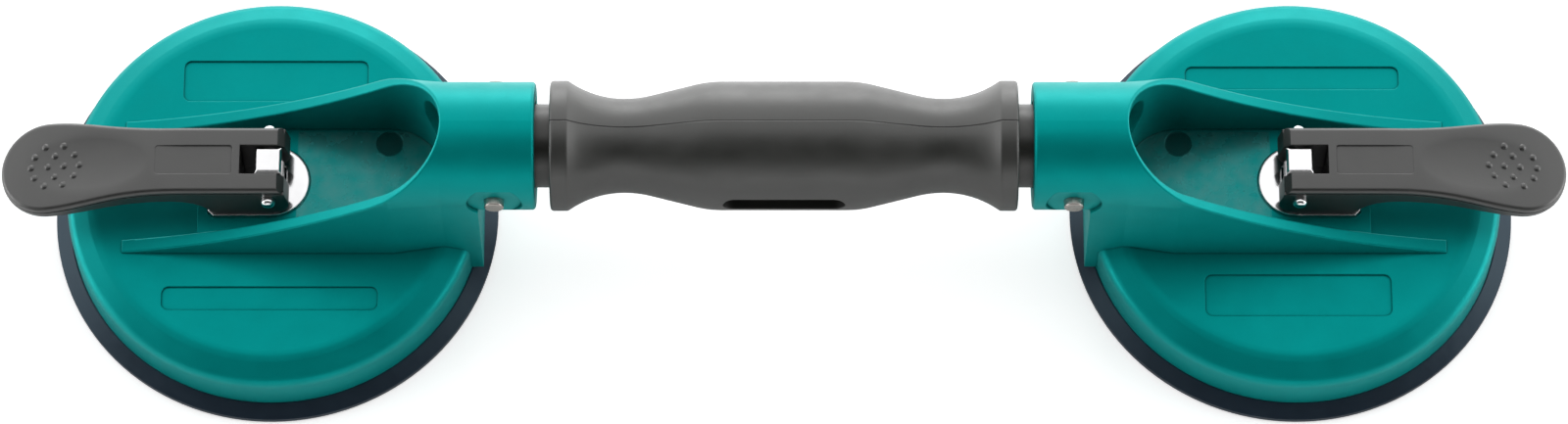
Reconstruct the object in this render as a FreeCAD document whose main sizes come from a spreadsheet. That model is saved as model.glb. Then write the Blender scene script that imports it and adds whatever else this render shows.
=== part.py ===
import FreeCAD, Part
import math
import os
import Sketcher

# A two-cup suction lifter: two moulded heads, each with a rubber pad that a cam lever
# pulls hollow, joined by a hand grip on a tube. Each head swivels on a cross pin.
# The whole part stands on its pads: +Z is up, +X runs along the grip, and the origin
# is on the ground under the middle of the grip. A head is drawn about its own cup axis,
# with its +X towards the grip, and placed once at each end.

LEFT, RIGHT = "left", "right"
OUT_DIR = "parts"

# Driving sizes in millimetres (angles in degrees): alias, value, what it is.
SIZES = (
    ("socket_gap", 3.95, "gap between the grip's end and a socket"),
    ("pad_radius", 60.0, "outer radius of the rubber pad"),
    ("pad_lip_width", 5.0, "flat ring of the pad that touches the glass"),
    ("pad_edge_thick", 1.6, "thickness of the pad at its outer edge"),
    ("pad_seat", 3.5, "height of the ring that the housing sits on"),
    ("pad_seat_width", 5.5, "width of that ring"),
    ("pad_core_radius", 25.0, "flat middle of the pad"),
    ("pad_core_thick", 3.0, "rubber under the backing plate"),
    ("pad_hollow", 5.0, "height of the hollow under the middle, lever closed"),
    ("dome_radius", 55.8, "outer radius of the housing"),
    ("dome_top", 20.0, "height of the housing's flat top"),
    ("shoulder_width", 7.0, "width of the sloping shoulder round the flat top"),
    ("shoulder_drop", 3.4, "fall of that shoulder"),
    ("shoulder_round", 7.0, "rounding between flat top and shoulder"),
    ("corner_round", 3.2, "rounding between shoulder and side wall"),
    ("wall", 3.2, "wall thickness of the housing"),
    ("deck_height", 23.8, "height of the raised deck under the lever"),
    ("deck_end", 19.7, "cup axis to the deck's outer end"),
    ("cradle_wall", 2.8, "thickness of the cradle walls at the grip's axis"),
    ("well_centre", 31.5, "cup axis to the centre of the well's round end"),
    ("cradle_flare", 1.2, "how far the cradle's sides stand out beyond the socket's"),
    ("cradle_draft", 1.0, "how far they stand out more at the dome"),
    ("cradle_start", 40.0, "cup axis to the cradle walls' low ends"),
    ("cradle_start_rise", 0.6, "height of those low ends over the dome"),
    ("scoop_round", 165.0, "radius of the cradle walls' curved top"),
    ("rim_land", 0.4, "well's round end to where the scoop leaves the socket"),
    ("scoop_over", 0.2, "rise of the scoop's curve past the socket"),
    ("round_start", 24.0, "cup axis to where the cradle gets the socket's round top"),
    ("flare_length", 13.8, "length over which the cradle narrows to the socket"),
    ("flare_lead", 0.1, "end of that length to the well's round end"),
    ("skirt_reach", 0.7, "how far the skirt under the socket stands out of the dome"),
    ("skirt_bottom", 5.0, "height of the skirt's lower edge"),
    ("axis_height", 48.6, "height of the grip's axis"),
    ("socket_radius", 17.0, "outer radius of the socket"),
    ("socket_end", 71.85, "cup axis to the socket's mouth"),
    ("mouth_round", 1.0, "rounding of the socket's mouth"),
    ("swivel_offset", 61.0, "cup axis to the swivel pin"),
    ("swivel_radius", 2.6, "radius of the swivel pin"),
    ("swivel_proud", 2.1, "swivel pin's end over its spot face"),
    ("swivel_round", 0.5, "rounding of the swivel pin's ends"),
    ("swivel_angle", 10.0, "tilt of a head each way"),
    ("spot_radius", 7.4, "radius of the flat spot round the swivel pin"),
    ("spot_depth", 1.1, "depth of that spot in the socket's side"),
    ("hub_radius", 9.0, "radius of the post's guide under the deck"),
    ("hub_bottom", 13.0, "height of the guide's lower end"),
    ("big_frame_length", 50.0, "length of the larger label recess"),
    ("big_frame_inner", 25.3, "cup axis to the near edge of the larger recess"),
    ("big_frame_width", 11.9, "width of the larger label recess"),
    ("small_frame_length", 58.0, "length of the smaller label recess"),
    ("small_frame_inner", 28.8, "cup axis to the near edge of the smaller recess"),
    ("small_frame_width", 6.7, "width of the smaller label recess"),
    ("frame_depth", 0.5, "depth of the label recesses"),
    ("frame_round", 2.0, "corner radius of the label recesses"),
    ("mark_radius", 3.6, "radius of the ejector marks on the deck"),
    ("mark_offset", 11.2, "middle of the deck to an ejector mark"),
    ("mark_depth", 0.3, "depth of the ejector marks"),
    ("rim_round", 0.5, "rounding of the cradle's rim"),
    ("plate_radius", 10.0, "radius of the wear plate's round end, and half its width"),
    ("plate_end", 16.8, "cup axis to the wear plate's square end"),
    ("plate_chamfer", 1.4, "cut corners of the wear plate"),
    ("plate_thick", 1.2, "thickness of the wear plate"),
    ("plate_sunk", 0.6, "depth of the wear plate's seat in the deck"),
    ("plate_gap", 0.4, "gap round the wear plate in its seat"),
    ("post_along", 7.2, "post's size along the lever"),
    ("post_across", 7.5, "post's size across the lever"),
    ("post_over_pin", 4.8, "post's top over the lever pin"),
    ("post_chamfer", 0.7, "chamfer of the post's top"),
    ("post_gap", 0.3, "gap round the post in the hub and the wear plate"),
    ("tenon_radius", 3.0, "riveted end of the post in the backing plate"),
    ("backing_radius", 24.0, "radius of the backing plate"),
    ("backing_thick", 2.0, "thickness of the backing plate"),
    ("lever_pin_radius", 1.9, "radius of the lever pin"),
    ("lever_pin_proud", 2.1, "lever pin's end over the lever's side"),
    ("lever_pin_round", 1.2, "rounding of the lever pin's ends"),
    ("cam_closed", 9.8, "lever pin to the foot, lever closed"),
    ("cam_open", 4.8, "lever pin to the end face, lever open"),
    ("cam_angle", 100.0, "turn of the lever from closed to open"),
    ("lever_half", 9.5, "half width of the lever's arm"),
    ("lever_over_pin", 5.2, "lever's flat top over its pin"),
    ("lever_bevel_along", 1.9, "length of the bevel at the lever's inner end"),
    ("lever_bevel_drop", 1.9, "height of that bevel"),
    ("lever_foot_end", 15.9, "lever pin to the foot's outer end"),
    ("lever_foot_slope", 11.0, "length over which the foot rises to the arm"),
    ("lever_flat_end", 20.0, "lever pin to where the arm's top starts to bend down"),
    ("lever_tip", 72.0, "lever pin to the lever's tip"),
    ("lever_tip_round", 12.8, "radius of the thumb pad's end, and half its width"),
    ("lever_waist", 26.0, "lever pin to where the arm starts to widen"),
    ("lever_top_round", 159.0, "radius of the arm's bent top"),
    ("lever_arm_thick", 7.8, "thickness of the arm, before it bends"),
    ("lever_under_round", 215.0, "radius of the arm's bent underside"),
    ("lever_edge_round", 1.4, "rounding of the thumb pad's edges"),
    ("dish_offset", 48.5, "lever pin to the middle of the thumb dish"),
    ("dish_radius", 38.0, "radius of the thumb dish's curve across the lever"),
    ("dish_depth", 0.85, "depth of the thumb dish"),
    ("dish_soft", 12.0, "rounding of the thumb dish's edge"),
    ("fork_end", 7.6, "lever pin to the closed end of the lever's slot"),
    ("fork_half", 4.2, "half width of the lever's slot"),
    ("panel_inner", 9.6, "lever pin to the near end of the lever's bare panel"),
    ("panel_length", 20.6, "length of that panel"),
    ("panel_half", 4.1, "half width of that panel"),
    ("panel_depth", 0.4, "depth of that panel"),
    ("tube_radius", 11.1, "outer radius of the tube"),
    ("tube_wall", 2.0, "wall of the tube"),
    ("tube_overlap", 10.9, "tube's end beyond the swivel pin"),
    ("plug_length", 22.0, "length of the tube's end plugs"),
    ("grip_half", 61.9, "middle of the grip to its end face"),
    ("grip_rim_radius", 17.3, "radius of the grip's end rims"),
    ("grip_rim_width", 4.6, "width of those rims"),
    ("grip_neck", 42.3, "middle of the grip to its necks"),
    ("grip_neck_radius", 12.5, "radius of the necks"),
    ("grip_sweep", 3.5, "corner to tangent point of the curves at neck and swell"),
    ("grip_swell", 16.6, "middle of the grip to the ends of its full swell"),
    ("grip_swell_radius", 17.1, "radius of the full swell"),
    ("grip_rim_edge", 0.9, "rounding of the rims' edges"),
    ("slot_length", 32.4, "length of the grip's side slots"),
    ("slot_width", 6.2, "width of the grip's side slots"),
    ("snug", 0.05, "gap between pieces that are pushed together"),
    ("running", 0.08, "gap round a turning pin, and under the cam"),
    ("tilt_gap", 0.35, "gap left over in the socket at full tilt"),
)

CAM_STEPS = 16  # points on the cam's curve


class Size:
    """A length with the sheet expression that gives it."""

    def __init__(self, value, text):
        self.value = value
        self.text = text

    def _with(self, other, sign, value):
        return Size(value, f"({self.text} {sign} {other.text})")

    def __add__(self, other):
        other = as_size(other)
        return self._with(other, "+", self.value + other.value)

    def __sub__(self, other):
        other = as_size(other)
        return self._with(other, "-", self.value - other.value)

    def __mul__(self, other):
        other = as_size(other)
        return self._with(other, "*", self.value * other.value)

    def __truediv__(self, other):
        other = as_size(other)
        return self._with(other, "/", self.value / other.value)

    def __neg__(self):
        return Size(-self.value, f"(0 - {self.text})")


def as_size(thing):
    return thing if isinstance(thing, Size) else Size(float(thing), repr(float(thing)))


ZERO = Size(0.0, "0")


class Sheet:
    """The spreadsheet of driving sizes, read as sheet.alias."""

    def __init__(self, doc):
        self._page = doc.addObject("Spreadsheet::Sheet", "Sizes")
        for row, (alias, value, note) in enumerate(SIZES, start=1):
            self._page.set(f"A{row}", note)
            self._page.set(f"B{row}", str(value))
            self._page.setAlias(f"B{row}", alias)
        doc.recompute()

    def __getattr__(self, alias):
        return Size(float(self._page.get(alias)), f"Sizes.{alias}")


def bind(obj, prop, size):
    """Gives a property its value and ties it to the sheet."""
    obj.setExpression(prop, size.text)


def new_body(doc, label):
    body = doc.addObject("PartDesign::Body", label)
    body.Label = label
    return body


def sketch_on(body, name, role, lift=ZERO, up=ZERO):
    """A sketch on one of the body's origin planes, moved along its normal and its own Y."""
    sketch = body.newObject("Sketcher::SketchObject", name)
    plane = next(f for f in body.Origin.OriginFeatures if f.Role == role)
    sketch.AttachmentSupport = [(plane, "")]
    sketch.MapMode = "FlatFace"
    sketch.AttachmentOffset = FreeCAD.Placement(
        FreeCAD.Vector(0, up.value, lift.value), FreeCAD.Rotation()
    )
    bind(sketch, "AttachmentOffset.Base.z", lift)
    bind(sketch, "AttachmentOffset.Base.y", up)
    return sketch


def pin_point(sketch, geometry, end, x, y):
    """Holds a point of the sketch at (x, y)."""
    for kind, axis, size in (("DistanceX", -2, x), ("DistanceY", -1, y)):
        if size.text == "0":
            sketch.addConstraint(Sketcher.Constraint("PointOnObject", geometry, end, axis))
            continue
        held = Sketcher.Constraint(kind, -1, 1, geometry, end, size.value)
        index = sketch.addConstraint(held)
        bind(sketch, f"Constraints[{index}]", size)


def arc_between(start, stop, radius, turn):
    """The shorter arc of that radius. turn is 1 if it goes anticlockwise, else -1."""
    middle = (start + stop) * 0.5
    chord = stop - start
    rise = math.sqrt(radius**2 - (chord.Length / 2) ** 2)
    left = FreeCAD.Vector(-chord.y, chord.x, 0).normalize()
    centre = middle + left * (rise * turn)
    first, last = (start, stop) if turn > 0 else (stop, start)
    circle = Part.Circle(centre, FreeCAD.Vector(0, 0, 1), radius)
    angles = [math.atan2(p.y - centre.y, p.x - centre.x) for p in (first, last)]
    if angles[1] < angles[0]:
        angles[1] += 2 * math.pi
    return Part.ArcOfCircle(circle, *angles)


def outline(sketch, corners):
    """A closed chain. A corner is (x, y), or (x, y, radius, turn) where an arc leaves it."""
    corners = [(as_size(c[0]), as_size(c[1]), *c[2:]) for c in corners]
    points = [FreeCAD.Vector(c[0].value, c[1].value, 0) for c in corners]
    ends = []
    for i, corner in enumerate(corners):
        start, stop = points[i], points[(i + 1) % len(points)]
        if len(corner) == 2:
            ends.append((sketch.addGeometry(Part.LineSegment(start, stop)), 1, 2))
            continue
        radius, turn = corner[2:]
        arc = sketch.addGeometry(arc_between(start, stop, radius.value, turn))
        ends.append((arc, 1, 2) if turn > 0 else (arc, 2, 1))
    for i, (edge, first, last) in enumerate(ends):
        following, its_first, _ = ends[(i + 1) % len(ends)]
        joined = Sketcher.Constraint("Coincident", edge, last, following, its_first)
        sketch.addConstraint(joined)
        if len(corners[i]) > 2:
            radius = corners[i][2]
            held = sketch.addConstraint(Sketcher.Constraint("Radius", edge, radius.value))
            bind(sketch, f"Constraints[{held}]", radius)
    for (edge, first, _), corner in zip(ends, corners):
        pin_point(sketch, edge, first, corner[0], corner[1])


def rectangle(sketch, low_x, low_y, high_x, high_y):
    outline(sketch, [(low_x, low_y), (high_x, low_y), (high_x, high_y), (low_x, high_y)])


def round_rectangle(sketch, low_x, low_y, high_x, high_y, radius):
    low_x, low_y, high_x, high_y = map(as_size, (low_x, low_y, high_x, high_y))
    outline(
        sketch,
        [
            (low_x + radius, low_y),
            (high_x - radius, low_y, radius, 1),
            (high_x, low_y + radius),
            (high_x, high_y - radius, radius, 1),
            (high_x - radius, high_y),
            (low_x + radius, high_y, radius, 1),
            (low_x, high_y - radius),
            (low_x, low_y + radius, radius, 1),
        ],
    )


def circle(sketch, x, y, radius):
    x, y = as_size(x), as_size(y)
    centre = FreeCAD.Vector(x.value, y.value, 0)
    ring = Part.Circle(centre, FreeCAD.Vector(0, 0, 1), radius.value)
    edge = sketch.addGeometry(ring)
    held = sketch.addConstraint(Sketcher.Constraint("Radius", edge, radius.value))
    bind(sketch, f"Constraints[{held}]", radius)
    pin_point(sketch, edge, 3, x, y)


def volume_of(body):
    return body.Shape.Volume if body.Tip else 0.0


def extrude(body, kind, sketch, length, reverse=False, both=False):
    """A Pad or Pocket. It fails the build if it adds or takes nothing."""
    before = volume_of(body)
    feature = body.newObject(f"PartDesign::{kind}", f"{kind}_{sketch.Name}")
    feature.Profile = sketch
    feature.Reversed = reverse
    feature.SideType = "Symmetric" if both else "One side"
    bind(feature, "Length", length)
    sketch.Document.recompute()
    check_change(body, feature, before, kind == "Pad")
    return feature


def turn(body, kind, sketch, axis="V_Axis"):
    """A full Revolution or Groove about one of the sketch's axes."""
    before = volume_of(body)
    feature = body.newObject(f"PartDesign::{kind}", f"{kind}_{sketch.Name}")
    feature.Profile = sketch
    feature.ReferenceAxis = (sketch, [axis])
    feature.Angle = 360
    sketch.Document.recompute()
    check_change(body, feature, before, kind == "Revolution")
    return feature


def check_change(body, feature, before, grows):
    change = volume_of(body) - before
    if not (change > 0 if grows else change < 0):
        raise RuntimeError(f"{body.Label}: {feature.Name} changed nothing")


def dress(body, kind, prop, size, wanted):
    """A Fillet or Chamfer on the edges of the body that wanted() picks."""
    base = body.Tip
    names = [f"Edge{i}" for i, e in enumerate(base.Shape.Edges, 1) if wanted(e)]
    if not names:
        raise RuntimeError(f"{body.Label}: no edge for a {kind}")
    feature = body.newObject(f"PartDesign::{kind}", f"{kind}_{len(body.Group)}")
    feature.Base = (base, names)
    bind(feature, prop, size)
    body.Document.recompute()
    return feature


def ring_at(radius, height=None, tolerance=0.01):
    """Picks circular edges of a radius, about any axis, optionally at one height."""

    def wanted(edge):
        curve = edge.Curve
        if not isinstance(curve, Part.Circle) or abs(curve.Radius - radius.value) > tolerance:
            return False
        return height is None or abs(curve.Center.z - height.value) < tolerance

    return wanted


def cup_offset(s):
    """Middle of the grip to a cup's axis."""
    return s.grip_half + s.socket_gap + s.socket_end


def place(body, side, s, height=ZERO):
    """Puts a head's piece at its end of the lifter. The right head is turned half round."""
    half_turn = 0.0 if side == LEFT else 180.0
    body.Placement = FreeCAD.Placement(
        FreeCAD.Vector(0, 0, 0), FreeCAD.Rotation(FreeCAD.Vector(0, 0, 1), half_turn)
    )
    bind(body, "Placement.Base.x", -cup_offset(s) if side == LEFT else cup_offset(s))
    bind(body, "Placement.Base.z", height)
    return body


def cradle_half(s):
    return s.socket_radius + s.cradle_flare


def cradle_foot(s):
    return cradle_half(s) + s.cradle_draft


def well_half(s):
    return cradle_half(s) - s.cradle_wall


def well_end(s):
    return s.well_centre + well_half(s)


def flare_end(s):
    return well_end(s) - s.flare_lead


def flare_start(s):
    return flare_end(s) - s.flare_length


def skirt_end(s):
    return s.dome_radius + s.skirt_reach


def scoop_stop(s):
    """The end of the scoop's curve, just over the socket's top."""
    along = well_end(s) + s.rim_land + s.scoop_over
    return along, s.axis_height + s.socket_radius + s.scoop_over


def plate_top(s):
    return s.deck_height - s.plate_sunk + s.plate_thick


def lever_pin_height(s):
    return plate_top(s) + s.running + s.cam_closed


def backing_bottom(s):
    return s.pad_hollow + s.pad_core_thick


def bore_stretch(s):
    """How far the oval bore reaches over the tube, for the tilt of the longer lever arm."""
    lever_arm = max(s.tube_overlap.value, s.socket_end.value - s.swivel_offset.value)
    tilt = math.radians(s.swivel_angle.value)
    lift = lever_arm * math.sin(tilt) - s.tube_radius.value * (1 - math.cos(tilt))
    arm = s.tube_overlap if lever_arm == s.tube_overlap.value else s.socket_end - s.swivel_offset
    turned = f"sin({s.swivel_angle.text} * 1 deg)"
    upright = f"(1 - cos({s.swivel_angle.text} * 1 deg))"
    text = f"({arm.text} * {turned} - {s.tube_radius.text} * {upright})"
    return Size(lift, text) + s.tilt_gap


def make_pad(doc, s, side):
    """The rubber pad: a thin dish with a flat lip, hollow under its middle."""
    body = new_body(doc, f"{side}_suction_pad")
    lip_inner = s.pad_radius - s.pad_lip_width
    seat_outer = s.dome_radius + s.plate_gap
    half = turn_profile(body, "dish")
    outline(
        half,
        [
            (ZERO, s.pad_hollow),
            (s.pad_core_radius, s.pad_hollow),
            (lip_inner, ZERO),
            (s.pad_radius, ZERO),
            (s.pad_radius, s.pad_edge_thick),
            (seat_outer, s.pad_seat),
            (seat_outer - s.pad_seat_width, s.pad_seat),
            (s.pad_core_radius, backing_bottom(s)),
            (ZERO, backing_bottom(s)),
        ],
    )
    turn(body, "Revolution", half)
    return place(body, side, s)


def turn_profile(body, name, up=ZERO):
    return sketch_on(body, name, "XZ_Plane", up=up)


def make_backing_plate(doc, s, side):
    """The steel disc bonded on the pad. The post is riveted through its middle."""
    body = new_body(doc, f"{side}_backing_plate")
    disc = sketch_on(body, "disc", "XY_Plane", lift=backing_bottom(s))
    circle(disc, ZERO, ZERO, s.backing_radius)
    circle(disc, ZERO, ZERO, s.tenon_radius + s.snug)
    extrude(body, "Pad", disc, s.backing_thick)
    return place(body, side, s)


def make_post(doc, s, side):
    """The square post that the lever pulls up, with a round tenon below."""
    body = new_body(doc, f"{side}_pull_post")
    shoulder = backing_bottom(s) + s.backing_thick
    top = lever_pin_height(s) + s.post_over_pin
    bar = sketch_on(body, "bar", "XY_Plane", lift=shoulder)
    along, across = s.post_along / 2, s.post_across / 2
    rectangle(bar, -along, -across, along, across)
    extrude(body, "Pad", bar, top - shoulder)
    dress(body, "Chamfer", "Size", s.post_chamfer, lambda e: flat_at(e, top.value))
    tenon = sketch_on(body, "tenon", "XY_Plane", lift=backing_bottom(s))
    circle(tenon, ZERO, ZERO, s.tenon_radius)
    extrude(body, "Pad", tenon, s.backing_thick)
    eye = sketch_on(body, "eye", "XZ_Plane")
    circle(eye, ZERO, lever_pin_height(s), s.lever_pin_radius + s.snug)
    extrude(body, "Pocket", eye, s.post_across * 2, both=True)
    return place(body, side, s)


def flat_at(edge, height, tolerance=0.01):
    return all(abs(v.Z - height) < tolerance for v in edge.Vertexes)


def plate_outline(sketch, s, gap):
    """The wear plate's shape: round at the cup's axis, square with cut corners outside."""
    half = s.plate_radius + gap
    end = -(s.plate_end + gap)
    outline(
        sketch,
        [
            (end + s.plate_chamfer, -half),
            (ZERO, -half, half, 1),
            (half, ZERO, half, 1),
            (ZERO, half),
            (end + s.plate_chamfer, half),
            (end, half - s.plate_chamfer),
            (end, -half + s.plate_chamfer),
        ],
    )


def make_wear_plate(doc, s, side):
    """The plated steel plate that the lever's foot slides on."""
    body = new_body(doc, f"{side}_wear_plate")
    shape = sketch_on(body, "shape", "XY_Plane", lift=s.deck_height - s.plate_sunk)
    plate_outline(shape, s, ZERO)
    extrude(body, "Pad", shape, s.plate_thick)
    hole = sketch_on(body, "hole", "XY_Plane", lift=plate_top(s))
    post_hole(hole, s)
    extrude(body, "Pocket", hole, s.plate_thick * 2)
    return place(body, side, s)


def post_hole(sketch, s):
    along = s.post_along / 2 + s.post_gap
    across = s.post_across / 2 + s.post_gap
    rectangle(sketch, -along, -across, along, across)


def make_round_pin(doc, label, radius, length, end_round):
    """A pin along Y with rounded ends, about its own middle."""
    body = new_body(doc, label)
    section = sketch_on(body, "section", "XZ_Plane")
    circle(section, ZERO, ZERO, radius)
    extrude(body, "Pad", section, length, both=True)
    dress(body, "Fillet", "Radius", end_round, ring_at(radius))
    return body


def make_lever_pin(doc, s, side):
    length = (s.lever_half + s.lever_pin_proud) * 2
    label = f"{side}_lever_pin"
    body = make_round_pin(doc, label, s.lever_pin_radius, length, s.lever_pin_round)
    return place(body, side, s, lever_pin_height(s))


def swivel_pin_x(s, side):
    inner = cup_offset(s) - s.swivel_offset
    return -inner if side == LEFT else inner


def make_swivel_pin(doc, s, side):
    """The cross pin that holds a head on the tube."""
    length = (s.socket_radius - s.spot_depth + s.swivel_proud) * 2
    label = f"{side}_swivel_pin"
    body = make_round_pin(doc, label, s.swivel_radius, length, s.swivel_round)
    bind(body, "Placement.Base.x", swivel_pin_x(s, side))
    bind(body, "Placement.Base.z", s.axis_height)
    return body


def add_dome(body, s):
    """The round cover: flat top, sloping shoulder, upright side."""
    half = turn_profile(body, "dome")
    shoulder = s.dome_top - s.shoulder_drop
    flat = s.dome_radius - s.shoulder_width
    outline(
        half,
        [
            (ZERO, s.dome_top),
            (ZERO, s.pad_seat),
            (s.dome_radius, s.pad_seat),
            (s.dome_radius, shoulder),
            (flat, s.dome_top),
        ],
    )
    turn(body, "Revolution", half)
    dress(body, "Fillet", "Radius", s.shoulder_round, ring_at(flat, s.dome_top))
    dress(body, "Fillet", "Radius", s.corner_round, ring_at(s.dome_radius, shoulder))


def cradle_plan(sketch, s, half, neck):
    """The cradle seen from above: wide beside the well, as wide as the socket in front."""
    outline(
        sketch,
        [
            (-s.cradle_start, -half),
            (flare_start(s), -half),
            (flare_end(s), -neck),
            (skirt_end(s), -neck),
            (skirt_end(s), neck),
            (flare_end(s), neck),
            (flare_start(s), half),
            (-s.cradle_start, half),
        ],
    )


def add_cradle(body, s):
    """The drafted block that becomes the cradle's walls, with the skirt in front."""
    low = sketch_on(body, "cradle_low", "XY_Plane", lift=s.dome_top - s.wall / 2)
    cradle_plan(low, s, cradle_foot(s), s.socket_radius)
    high = sketch_on(body, "cradle_high", "XY_Plane", lift=s.axis_height)
    cradle_plan(high, s, cradle_half(s), s.socket_radius)
    before = volume_of(body)
    loft = body.newObject("PartDesign::AdditiveLoft", "cradle")
    loft.Profile = low
    loft.Sections = [high]
    loft.Ruled = True
    body.Document.recompute()
    check_change(body, loft, before, True)
    skirt = sketch_on(body, "skirt", "XY_Plane", lift=s.skirt_bottom)
    rectangle(skirt, flare_start(s), -s.socket_radius, skirt_end(s), s.socket_radius)
    extrude(body, "Pad", skirt, s.dome_top - s.skirt_bottom)


def add_socket(body, s):
    """The round socket, flared where it opens into the scoop."""
    half = turn_profile(body, "socket", up=s.axis_height)
    outline(
        half,
        [
            (s.round_start, ZERO),
            (s.socket_end, ZERO),
            (s.socket_end, s.socket_radius),
            (flare_end(s), s.socket_radius),
            (flare_start(s), cradle_half(s)),
            (s.round_start, cradle_half(s)),
        ],
    )
    turn(body, "Revolution", half, "H_Axis")


def cut_scoop_and_well(body, s):
    """Opens the cradle from above, and sinks the well between its walls."""
    far = -(s.cradle_start + s.dome_radius)
    start_height = s.dome_top + s.cradle_start_rise
    along, top = scoop_stop(s)
    scoop = sketch_on(body, "scoop", "XZ_Plane")
    outline(
        scoop,
        [
            (far, start_height),
            (-s.cradle_start, start_height, s.scoop_round, 1),
            (along, top),
            (along, top + s.dome_radius),
            (far, top + s.dome_radius),
        ],
    )
    extrude(body, "Pocket", scoop, cradle_foot(s) * 4, both=True)
    well = sketch_on(body, "well", "XY_Plane", lift=s.deck_height)
    outline(
        well,
        [
            (far, -well_half(s)),
            (s.well_centre, -well_half(s), well_half(s), 1),
            (well_end(s), ZERO, well_half(s), 1),
            (s.well_centre, well_half(s)),
            (far, well_half(s)),
        ],
    )
    extrude(body, "Pocket", well, s.axis_height + s.dome_radius, reverse=True)
    step = sketch_on(body, "step", "XY_Plane", lift=s.dome_top)
    rectangle(step, far, -well_half(s), -s.deck_end, well_half(s))
    extrude(body, "Pocket", step, s.axis_height + s.dome_radius, reverse=True)


def round_rim(body, s):
    """Rounds both edges of the cradle's curved rim."""
    along, top = scoop_stop(s)
    start = FreeCAD.Vector(-s.cradle_start.value, (s.dome_top + s.cradle_start_rise).value, 0)
    stop = FreeCAD.Vector(along.value, top.value, 0)
    centre = arc_between(start, stop, s.scoop_round.value, 1).Center

    def on_rim(edge):
        spots = [edge.valueAt(edge.FirstParameter), edge.valueAt(edge.LastParameter)]
        spots.append(edge.valueAt((edge.FirstParameter + edge.LastParameter) / 2))
        reach = [math.hypot(p.x - centre.x, p.z - centre.y) for p in spots]
        level = edge.BoundBox.XLength < s.snug.value
        return not level and all(abs(r - s.scoop_round.value) < 0.01 for r in reach)

    def inner(edge):
        return on_rim(edge) and max(abs(v.Y) for v in edge.Vertexes) < well_half(s).value + 0.01

    def outer(edge):
        return on_rim(edge) and not inner(edge)

    dress(body, "Fillet", "Radius", s.rim_round, outer)
    dress(body, "Fillet", "Radius", s.rim_round, inner)


def bore_outline(sketch, s):
    """The oval bore: as wide as the tube, taller by the tilt."""
    width = s.tube_radius + s.running
    rise = bore_stretch(s)
    outline(
        sketch,
        [
            (width, -rise),
            (width, rise, width, 1),
            (ZERO, rise + width, width, 1),
            (-width, rise),
            (-width, -rise, width, 1),
            (ZERO, -rise - width, width, 1),
        ],
    )


def cut_bore(body, s):
    bore = sketch_on(body, "bore", "YZ_Plane", lift=s.socket_end, up=s.axis_height)
    bore_outline(bore, s)
    extrude(body, "Pocket", bore, s.socket_end - s.well_centre)
    cross = sketch_on(body, "cross_hole", "XZ_Plane")
    circle(cross, s.swivel_offset, s.axis_height, s.swivel_radius + s.snug)
    extrude(body, "Pocket", cross, s.socket_radius * 4, both=True)
    flat = s.socket_radius - s.spot_depth
    for name, lift, outward in (("near_spot", flat, True), ("far_spot", -flat, False)):
        spot = sketch_on(body, name, "XZ_Plane", lift=lift)
        circle(spot, s.swivel_offset, s.axis_height, s.spot_radius)
        extrude(body, "Pocket", spot, s.socket_radius, reverse=outward)


def hollow_underside(body, s):
    """Empties the dome and the deck from below, and adds the post's guide."""
    inner = s.dome_radius - s.wall
    ceiling = s.dome_top - s.wall
    hollow = turn_profile(body, "hollow")
    outline(
        hollow,
        [
            (ZERO, s.pad_seat - s.wall),
            (inner, s.pad_seat - s.wall),
            (inner, ceiling - s.wall),
            (inner - s.wall, ceiling),
            (ZERO, ceiling),
        ],
    )
    turn(body, "Groove", hollow)
    under_deck = s.deck_height - s.wall
    pan = sketch_on(body, "pan", "XY_Plane", lift=under_deck)
    rectangle(pan, s.wall - s.deck_end, s.wall - well_half(s), s.well_centre, well_half(s) - s.wall)
    extrude(body, "Pocket", pan, s.deck_height - s.dome_top + s.wall)
    hub = sketch_on(body, "hub", "XY_Plane", lift=s.hub_bottom)
    circle(hub, ZERO, ZERO, s.hub_radius)
    extrude(body, "Pad", hub, under_deck - s.hub_bottom + s.wall / 2)
    slot = sketch_on(body, "post_slot", "XY_Plane", lift=s.deck_height)
    post_hole(slot, s)
    extrude(body, "Pocket", slot, s.deck_height)


def cut_details(body, s):
    """The wear plate's seat, the bare label recesses and the ejector marks."""
    seat = sketch_on(body, "plate_seat", "XY_Plane", lift=s.deck_height)
    plate_outline(seat, s, s.plate_gap)
    extrude(body, "Pocket", seat, s.plate_sunk)
    marks = sketch_on(body, "marks", "XY_Plane", lift=s.deck_height)
    for across in (s.mark_offset, -s.mark_offset):
        circle(marks, s.well_centre, across, s.mark_radius)
    extrude(body, "Pocket", marks, s.mark_depth)
    big = sketch_on(body, "big_frame", "XY_Plane", lift=s.dome_top)
    half = s.big_frame_length / 2
    high = s.big_frame_inner + s.big_frame_width
    round_rectangle(big, -half, s.big_frame_inner, half, high, s.frame_round)
    extrude(body, "Pocket", big, s.frame_depth)
    small = sketch_on(body, "small_frame", "XY_Plane", lift=s.dome_top)
    half = s.small_frame_length / 2
    low = -(s.small_frame_inner + s.small_frame_width)
    round_rectangle(small, -half, low, half, -s.small_frame_inner, s.frame_round)
    extrude(body, "Pocket", small, s.frame_depth)


def make_housing(doc, s, side):
    """The moulded head: dome, cradle, socket, well and guide, in one piece."""
    body = new_body(doc, f"{side}_housing")
    add_dome(body, s)
    add_cradle(body, s)
    add_socket(body, s)
    cut_scoop_and_well(body, s)
    round_rim(body, s)
    cut_bore(body, s)
    hollow_underside(body, s)
    mouth = s.socket_end.value

    def at_mouth(edge):
        is_ring = ring_at(s.socket_radius)(edge)
        return is_ring and abs(edge.Curve.Center.x - mouth) < 0.01

    dress(body, "Fillet", "Radius", s.mouth_round, at_mouth)
    cut_details(body, s)
    return place(body, side, s)


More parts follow.
